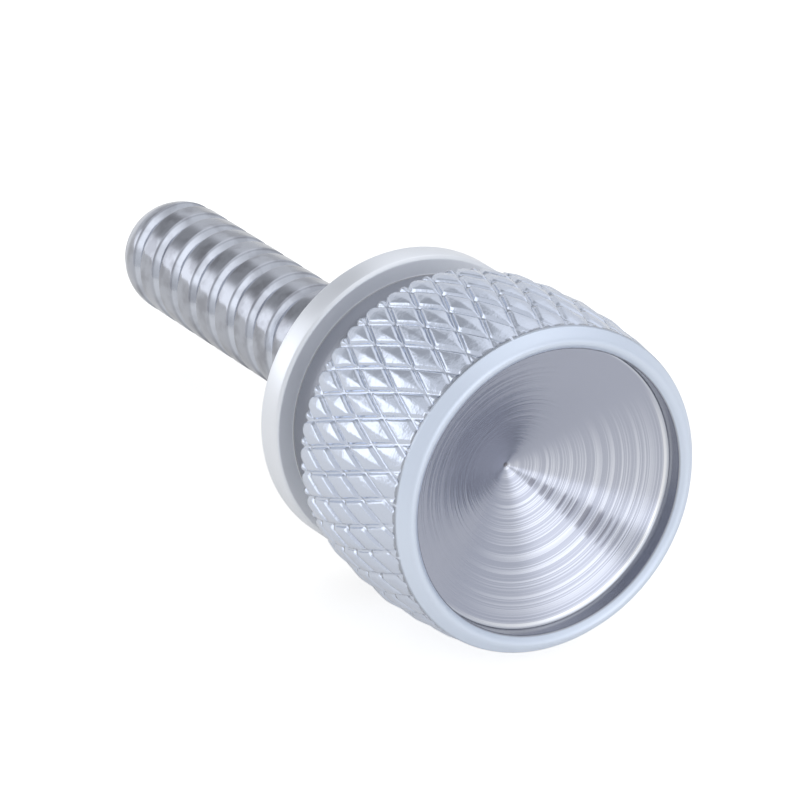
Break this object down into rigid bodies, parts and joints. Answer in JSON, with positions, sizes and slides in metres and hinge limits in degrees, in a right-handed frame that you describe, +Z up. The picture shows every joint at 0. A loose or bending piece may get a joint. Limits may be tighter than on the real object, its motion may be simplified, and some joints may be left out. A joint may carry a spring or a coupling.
{
  "type": "knurled thumb screw",
  "caption": "Thumb screw in bright metal: threaded shank with a domed tip, thin flange, narrower neck, diamond-knurled barrel and a dished front inside a smooth rim.",
  "frame": {"origin": "centre of the flange's seat, where the shank's axis meets it", "axes": "+X along the screw towards its dished front, which is raised a little as the screw lies, +Z up from the surface it lies on"},
  "size_m": [0.0419, 0.0178, 0.018],
  "materials": {
    "bright_metal": "bright plated, turned and knurled"
  },
  "bodies": {
    "root": {"thumb_screw": "bright_metal"}
  },
  "joints": []
}
